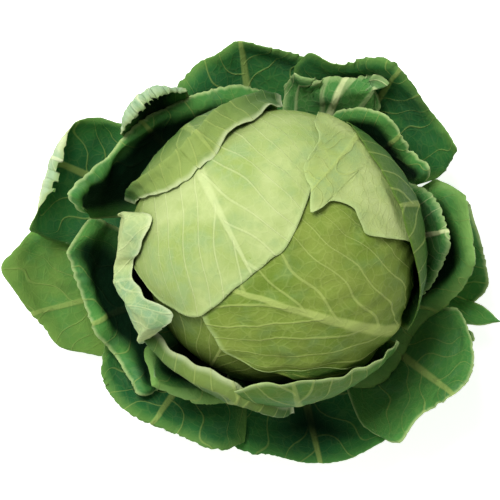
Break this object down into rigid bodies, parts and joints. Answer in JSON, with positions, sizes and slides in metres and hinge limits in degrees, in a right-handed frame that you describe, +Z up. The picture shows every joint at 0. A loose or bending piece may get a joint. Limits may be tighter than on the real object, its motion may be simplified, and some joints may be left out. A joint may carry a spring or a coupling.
{
  "type": "white cabbage",
  "caption": "Round white cabbage with a pale, closely wrapped head and loose dark green outer leaves, standing on its cut stem.",
  "frame": {"origin": "centre of the cut face of the stem", "axes": "+Z up the stem and out through the top of the head; -X towards the longest outer leaf"},
  "size_m": [0.284, 0.2488, 0.1812],
  "materials": {
    "stem": "satin",
    "head_leaf": "satin",
    "curled_leaf": "satin",
    "wrapper_leaf": "satin",
    "outer_leaf": "satin"
  },
  "bodies": {
    "root": {"stump": "stem", "heart": "head_leaf", "head_leaf_right": "head_leaf", "head_leaf_left": "head_leaf", "head_leaf_peaked": "head_leaf", "head_leaf_edge_right": "head_leaf", "head_leaf_bottom": "head_leaf", "curled_leaf_lower_left": "curled_leaf", "curled_leaf_left": "curled_leaf", "curled_leaf_upper_left": "curled_leaf", "wrapper_leaf_left": "wrapper_leaf", "wrapper_leaf_fan": "wrapper_leaf", "wrapper_leaf_upper_left": "wrapper_leaf", "wrapper_leaf_right": "wrapper_leaf", "wrapper_leaf_small": "wrapper_leaf", "wrapper_leaf_bottom": "wrapper_leaf", "wrapper_leaf_inner_right": "wrapper_leaf", "outer_leaf_left": "outer_leaf", "outer_leaf_far_right": "outer_leaf", "outer_leaf_bottom": "outer_leaf", "outer_leaf_top": "outer_leaf", "outer_leaf_upper_left": "outer_leaf", "outer_leaf_lower_right": "outer_leaf", "outer_leaf_bottom_left": "outer_leaf", "outer_leaf_top_right": "outer_leaf", "outer_leaf_roll": "outer_leaf"}
  },
  "joints": []
}
